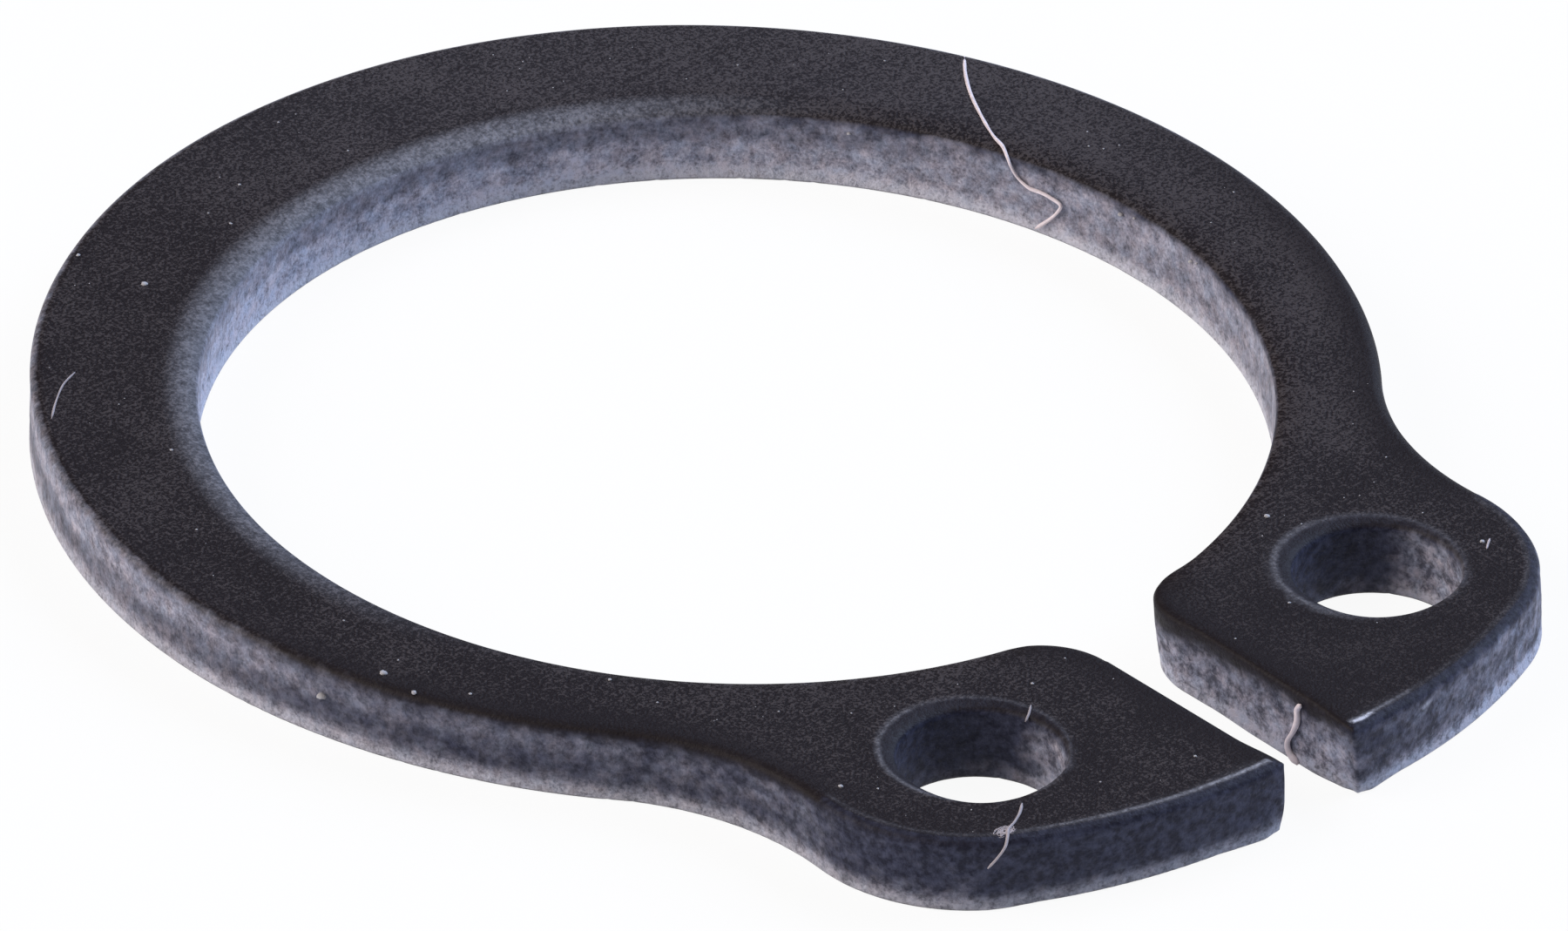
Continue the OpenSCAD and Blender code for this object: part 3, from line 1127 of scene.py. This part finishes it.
def fibre_mesh(points, thickness, seed):
    """Points and faces of a fine fibre, a little thicker and thinner along its length"""
    path = smooth_path([Vector(p) for p in points], FIBRE_STEPS)
    last = len(path) - 1
    spots = []
    across = Vector((0, 0, 1))
    for i, p in enumerate(path):
        way = (path[min(i + 1, last)] - path[max(i - 1, 0)]).normalized()
        across = (across - across.dot(way) * way).normalized()
        other = way.cross(across)
        uneven = 0.85 + 0.3 * noise.noise(p * 4 + Vector((seed, 0, 0)))
        radius = thickness / 2 * uneven * min(1, 0.4 + 0.3 * min(i, last - i))
        for k in range(FIBRE_SIDES):
            angle = math.tau * k / FIBRE_SIDES
            spots.append(p + radius * (math.cos(angle) * across + math.sin(angle) * other))
    faces = []
    for first in range(0, last * FIBRE_SIDES, FIBRE_SIDES):
        for k in range(FIBRE_SIDES):
            a, b = first + k, first + (k + 1) % FIBRE_SIDES
            faces.append((a, b, b + FIBRE_SIDES, a + FIBRE_SIDES))
    faces.append(tuple(range(FIBRE_SIDES))[::-1])
    faces.append(tuple(range(last * FIBRE_SIDES, (last + 1) * FIBRE_SIDES)))
    return spots, faces


def join_shapes(shapes):
    """One set of points and faces from several"""
    spots, faces = [], []
    for points, sides in shapes:
        faces += [tuple(i + len(spots) for i in face) for face in sides]
        spots += points
    return spots, faces


# Fibres that lie on the steel, as points in millimetres; those without a height lie on the top face
HAIR = ((7.26, 4.0), (6.97, 3.66), (6.69, 3.24), (6.41, 2.7), (6.27, 2.37), (6.19, 2.12, 1.0),
        (6.13, 1.96, 0.93), (6.12, 1.88, 0.84), (6.17, 1.8, 0.7), (6.2, 1.64, 0.63), (6.25, 1.48, 0.62),
        (6.28, 1.33, 0.6), (6.3, 1.18, 0.56), (6.29, 1.24, 0.42), (6.26, 1.37, 0.26), (6.22, 1.53, 0.1))
SLOT_FIBRE = ((0.575, -9.36, 0.88), (0.575, -9.3, 0.78), (0.57, -9.31, 0.63),
              (0.565, -9.26, 0.465), (0.56, -9.17, 0.28), (0.565, -9.2, 0.14), (0.57, -9.35, 0.04))
END_FIBRE = ((-3.5, -8.96), (-3.66, -9.1), (-3.85, -9.22), (-4.02, -9.3), (-4.11, -9.39),
             (-4.23, -9.48, 0.93), (-4.36, -9.49, 0.83), (-4.48, -9.46, 0.72))
HOLE_FIBRE = ((-2.24, -7.63), (-2.12, -7.56), (-2.0, -7.46))
SHOULDER_FIBRE = ((4.47, -8.37), (4.56, -8.3), (4.66, -8.23))
FAR_FIBRE = ((-5.8, 5.4), (-6.1, 5.27), (-6.42, 5.03), (-6.7, 4.78))
# Each fibre with its thickness as a share of the hair's, and how much darker it is
FIBRES = [
    (HAIR, 1.0, 0.0), (SLOT_FIBRE, 1.7, 0.0), (END_FIBRE, 0.8, 0.7),
    (FAR_FIBRE, 0.6, 0.75), (HOLE_FIBRE, 0.7, 0.8), (SHOULDER_FIBRE, 0.7, 0.6),
]
# The knot in the end's fibre: its place, its strands, their thickness as shares of the hair's, and how much
# darker they are
KNOT_AT = (-4.08, -9.3)
KNOT_STRANDS = 9
KNOT_THICKNESS = (0.16, 0.3)
KNOT_DIMMED = 0.7
KNOT_SEED = 3
# Each strand's points, their distances from the knot's middle, and how far each turns on from the last
KNOT_POINTS = 6
KNOT_REACH = (0.02, 0.16)
KNOT_TURN = (0.8, 2.2)
# How light a fully dimmed fibre is, as a share of an undimmed one
DIMMED_SHARE = 0.3


def lay_down(blank, points):
    """The points with a height each, on the top face where none is given"""
    laid = []
    for point in points:
        q = np.array([complex(point[0], point[1])])
        z = point[2] if len(point) == 3 else blank.top(q)[0]
        laid.append((point[0], point[1], z))
    return laid


def tangle(at, dice):
    """One short curled strand of the knot that lies round a place on the top face"""
    turn = dice.uniform(0, math.tau)
    points = []
    for _ in range(KNOT_POINTS):
        reach = dice.uniform(*KNOT_REACH)
        points.append((at[0] + reach * math.cos(turn), at[1] + 0.7 * reach * math.sin(turn)))
        turn += dice.uniform(*KNOT_TURN)
    return points


def lint_mesh(blank, thickness):
    """Points and faces of all the fibres, and how much darker each point is"""
    dice = random.Random(KNOT_SEED)
    knot = [(tangle(KNOT_AT, dice), dice.uniform(*KNOT_THICKNESS), KNOT_DIMMED) for _ in range(KNOT_STRANDS)]
    shapes, dimmed = [], []
    for seed, (points, share, dust) in enumerate(FIBRES + knot):
        shapes.append(fibre_mesh(lay_down(blank, points), share * thickness, seed))
        dimmed += [dust] * len(shapes[-1][0])
    spots, faces = join_shapes(shapes)
    return lean_back(blank, blank.loops(), np.array(spots)).tolist(), faces, dimmed


# Sides round a speck
FLAKE_SIDES = 7
# How many places are tried for the fine specks, how clear of the rolled edges they lie, as a share of the
# edges' widths, and how their sizes spread
DUST_TRIES = 20000
DUST_CLEAR = 1.2
DUST_SPREAD = (0.5, 1.6)
# Larger specks on the steel: place and size in millimetres
SPECKS = (
    ((-7.39, -2.03, 1.0), 0.12), ((-7.39, -2.58, 1.0), 0.08), ((-7.89, -1.5, 0.63), 0.13),
    ((-3.85, 6.39, 1.0), 0.1), ((-1.48, 7.38, 1.0), 0.05), ((-2.15, 6.77, 1.0), 0.05),
    ((-6.06, 3.33, 1.0), 0.05), ((-4.03, 7.4, 1.0), 0.06), ((-5.43, -3.85, 1.0), 0.05),
    ((-6.9, -3.03, 1.0), 0.05), ((-4.9, -7.34, 1.0), 0.07), ((2.96, -6.16, 1.0), 0.09),
    ((4.54, -8.22, 1.0), 0.07), ((1.86, -7.75, 1.0), 0.05), ((-1.27, -9.53, 1.0), 0.05),
    ((-1.67, -7.12, 1.0), 0.05), ((6.43, 0.25, 0.82), 0.08), ((6.44, 0.02, 0.87), 0.05),
    ((6.35, -1.1, 0.82), 0.08), ((6.33, -1.22, 0.86), 0.05), ((5.2, 3.8, 0.78), 0.06),
)


def flake(at, size, dice):
    """A small uneven crumb, flatter than it is wide"""
    middle = Vector(at)
    tip = Vector((0, 0, 0.22 * size))
    spots = [middle - tip]
    for height, share in ((-0.1, 0.46), (0.12, 0.42)):
        for k in range(FLAKE_SIDES):
            angle = math.tau * (k + dice.uniform(-0.3, 0.3)) / FLAKE_SIDES
            reach = size * share * dice.uniform(0.75, 1.15)
            spots.append(middle + Vector((reach * math.cos(angle), reach * math.sin(angle), size * height)))
    spots.append(middle + tip)
    faces = []
    for k in range(FLAKE_SIDES):
        a, b = 1 + k, 1 + (k + 1) % FLAKE_SIDES
        c, d = a + FLAKE_SIDES, b + FLAKE_SIDES
        faces += [(0, b, a), (a, b, d, c), (c, d, len(spots) - 1)]
    return spots, faces


# ---------------------------------------------------------------- operators

def sizes_of(group):
    """The sizes of a property group by name"""
    return {name: getattr(group, name) for name in group.__annotations__}


class RETAINING_RING_OT_steel(bpy.types.Operator):
    """Build the punched steel ring with its rolled and torn edges"""

    bl_idname = "retaining_ring.steel"
    bl_label = "Steel ring"

    def execute(self, context):
        scene = context.scene
        blank = Blank(sizes_of(scene.ring_sizes))
        spots, faces, (torn_and_lit, painted_shade, wall) = steel_mesh(blank)
        ring = new_object("steel_ring", spots.tolist(), faces, [blackened_steel(scene.ring_colours)])
        mark(ring.data, "torn_and_lit", torn_and_lit)
        mark(ring.data, "wall", wall)
        mark(ring.data, "worn", worn_edges(blank, spots))
        mark(ring.data, "painted_shade", painted_shade)
        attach(ring, "root")
        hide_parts(STEEL)
        return {"FINISHED"}


class RETAINING_RING_OT_lint(bpy.types.Operator):
    """Lay the hair and the cotton fibres on the steel"""

    bl_idname = "retaining_ring.lint"
    bl_label = "Lint"

    def execute(self, context):
        scene = context.scene
        blank = Blank(sizes_of(scene.ring_sizes))
        spots, faces, dimmed = lint_mesh(blank, scene.ring_lint.hair_thickness / MM)
        lint = new_object("lint_fibres", spots, faces, [fibre("pale_lint", scene.ring_colours.lint)])
        mark(lint.data, "dimmed", dimmed)
        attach(lint, "root")
        return {"FINISHED"}


class RETAINING_RING_OT_dust(bpy.types.Operator):
    """Scatter the dust specks on the top face"""

    bl_idname = "retaining_ring.dust"
    bl_label = "Dust"

    def execute(self, context):
        scene = context.scene
        settings = scene.ring_lint
        blank = Blank(sizes_of(scene.ring_sizes))
        dice = random.Random(settings.seed)
        shapes = [flake(at, size, dice) for at, size in SPECKS]
        reach = blank.s["outer_radius"] + blank.s["outer_shift"]
        low = -blank.s["bore_radius"] - blank.s["lug_depth"]
        tries = [complex(dice.uniform(-reach, reach), dice.uniform(low, reach)) for _ in range(DUST_TRIES)]
        tries = np.array(tries)
        tries = tries[inside(blank, tries)]
        for p in tries[blank.reach(tries) > DUST_CLEAR][:settings.dust_count]:
            size = settings.dust_size / MM * dice.uniform(*DUST_SPREAD)
            shapes.append(flake((p.real, p.imag, blank.s["thickness"]), size, dice))
        spots, faces = join_shapes(shapes)
        dust = new_object("dust_specks", spots, faces, [fibre("pale_dust", scene.ring_colours.dust)])
        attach(dust, "root")
        return {"FINISHED"}


def direction(azimuth, elevation):
    """Unit vector towards an azimuth, from the slot's side round to the right, and an elevation"""
    return Vector((math.sin(azimuth) * math.cos(elevation), -math.cos(azimuth) * math.cos(elevation),
                   math.sin(elevation)))


def aim_at(thing, target, roll=0.0):
    """Turns a lamp or camera towards a target"""
    way = Vector(target) - thing.location
    turn = way.to_track_quat("-Z", "Y").to_matrix() @ Matrix.Rotation(roll, 3, "Z")
    thing.rotation_euler = turn.to_euler()


# Lamps: name, azimuth and elevation in degrees, distance and sides in metres, light on a facing surface and
# colour
LAMPS = (
    ("left_lamp", -118, 34, 0.4, (0.3, 0.3), 0.85, (1.02, 0.94, 0.91)),
    ("right_lamp", 80, 38, 0.4, (0.4, 0.3), 1.04, (0.74, 0.91, 1.26)),
)
# The light from all around: its strength and colour
WORLD_LIGHT = 0.14
WORLD_COLOUR = (1.0, 0.96, 0.99)
# The nearest that the camera sees, in metres
CLIP_START = 0.01


def light_room(scene):
    """Hangs the lamps and sets the light from all around"""
    for name, azimuth, elevation, distance, sides, light, colour in LAMPS:
        lamp = bpy.data.lights.new(name, "AREA")
        lamp.shape = "RECTANGLE"
        lamp.size, lamp.size_y = sides
        lamp.energy = light * math.pi ** 2 * distance ** 2
        lamp.color = colour
        holder = bpy.data.objects.new(name, lamp)
        holder.location = distance * direction(math.radians(azimuth), math.radians(elevation))
        aim_at(holder, (0, 0, 0))
        scene.collection.objects.link(holder)
    world = bpy.data.worlds.new("studio_air")
    world.use_nodes = True
    air = world.node_tree.nodes["Background"]
    air.inputs["Color"].default_value = solid(WORLD_COLOUR)
    air.inputs["Strength"].default_value = WORLD_LIGHT
    scene.world = world


def place_camera(scene, studio):
    """Sets up the camera with its lens"""
    lens = bpy.data.cameras.new("camera")
    lens.lens = studio.camera_lens
    lens.clip_start = CLIP_START
    camera = bpy.data.objects.new("camera", lens)
    camera.location = studio.camera_distance * direction(studio.camera_azimuth, studio.camera_elevation)
    aim_at(camera, studio.camera_aim, studio.camera_roll)
    scene.collection.objects.link(camera)
    scene.camera = camera


class RETAINING_RING_OT_studio(bpy.types.Operator):
    """Set up the floor, the lamps and the camera"""

    bl_idname = "retaining_ring.studio"
    bl_label = "Studio"

    def execute(self, context):
        scene = context.scene
        studio = scene.ring_studio
        half = studio.floor_size / 2 / MM
        corners = [(-half, -half, 0), (half, -half, 0), (half, half, 0), (-half, half, 0)]
        new_object("floor", corners, [(0, 1, 2, 3)], [floor_finish(studio)])
        light_room(scene)
        place_camera(scene, studio)
        scene.view_settings.view_transform = "Standard"
        return {"FINISHED"}


class RETAINING_RING_PT_sidebar(bpy.types.Panel):
    """Sizes, colours and builders of the retaining ring"""

    bl_idname = "RETAINING_RING_PT_sidebar"
    bl_label = "Retaining ring"
    bl_space_type = "VIEW_3D"
    bl_region_type = "UI"
    bl_category = "Retaining ring"

    def draw(self, context):
        layout = self.layout
        for operator in OPERATORS:
            layout.operator(operator.bl_idname)
        for group_name in GROUPS:
            group = getattr(context.scene, group_name)
            box = layout.box()
            for name in group.__annotations__:
                box.prop(group, name)


OPERATORS = (
    RETAINING_RING_OT_studio, RETAINING_RING_OT_steel, RETAINING_RING_OT_lint, RETAINING_RING_OT_dust,
)
GROUPS = {
    "ring_sizes": RingSizes, "ring_colours": RingColours,
    "ring_lint": LintSettings, "ring_studio": StudioSettings,
}


def register():
    for group_name, group in GROUPS.items():
        bpy.utils.register_class(group)
        setattr(bpy.types.Scene, group_name, PointerProperty(type=group))
    for operator in OPERATORS:
        bpy.utils.register_class(operator)
    bpy.utils.register_class(RETAINING_RING_PT_sidebar)


def unregister():
    bpy.utils.unregister_class(RETAINING_RING_PT_sidebar)
    for operator in reversed(OPERATORS):
        bpy.utils.unregister_class(operator)
    for group_name, group in reversed(list(GROUPS.items())):
        delattr(bpy.types.Scene, group_name)
        bpy.utils.unregister_class(group)


def main():
    register()
    bpy.ops.retaining_ring.studio()
    bpy.ops.retaining_ring.steel()
    bpy.ops.retaining_ring.lint()
    bpy.ops.retaining_ring.dust()


if __name__ == "__main__":
    main()
